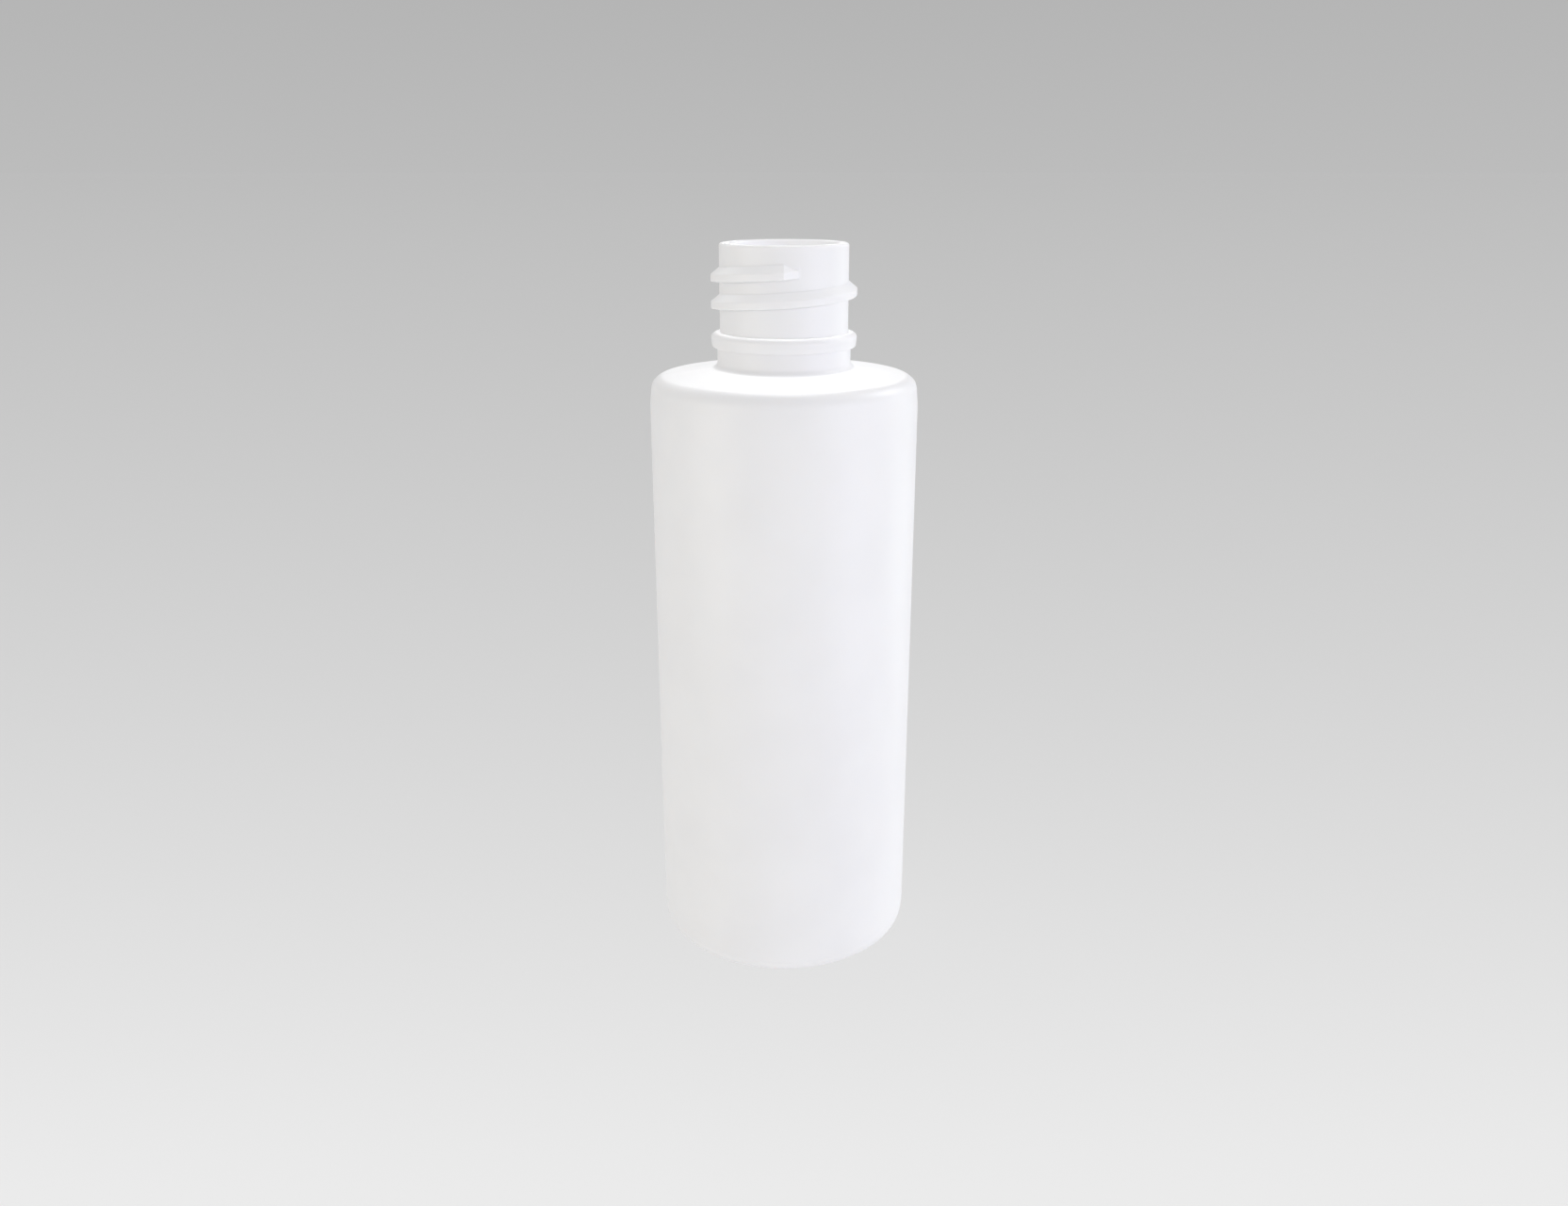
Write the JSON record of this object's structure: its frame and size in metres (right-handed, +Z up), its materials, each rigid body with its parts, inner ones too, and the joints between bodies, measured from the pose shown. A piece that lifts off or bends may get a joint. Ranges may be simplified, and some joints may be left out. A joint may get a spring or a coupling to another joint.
{
  "type": "cosmetic bottle",
  "caption": "Tall straight-sided round white bottle with a flat shoulder and an open screw neck with a thread and a bead.",
  "frame": {"origin": "centre of the standing ring's plane, on the bottle's axis", "axes": "+Z up along the bottle's axis towards the mouth; -Y is the front, where the thread starts"},
  "size_m": [0.033, 0.033, 0.0908],
  "materials": {
    "white_hdpe": "satin as moulded, slightly waxy"
  },
  "bodies": {
    "root": {"bottle": "white_hdpe"}
  },
  "joints": []
}
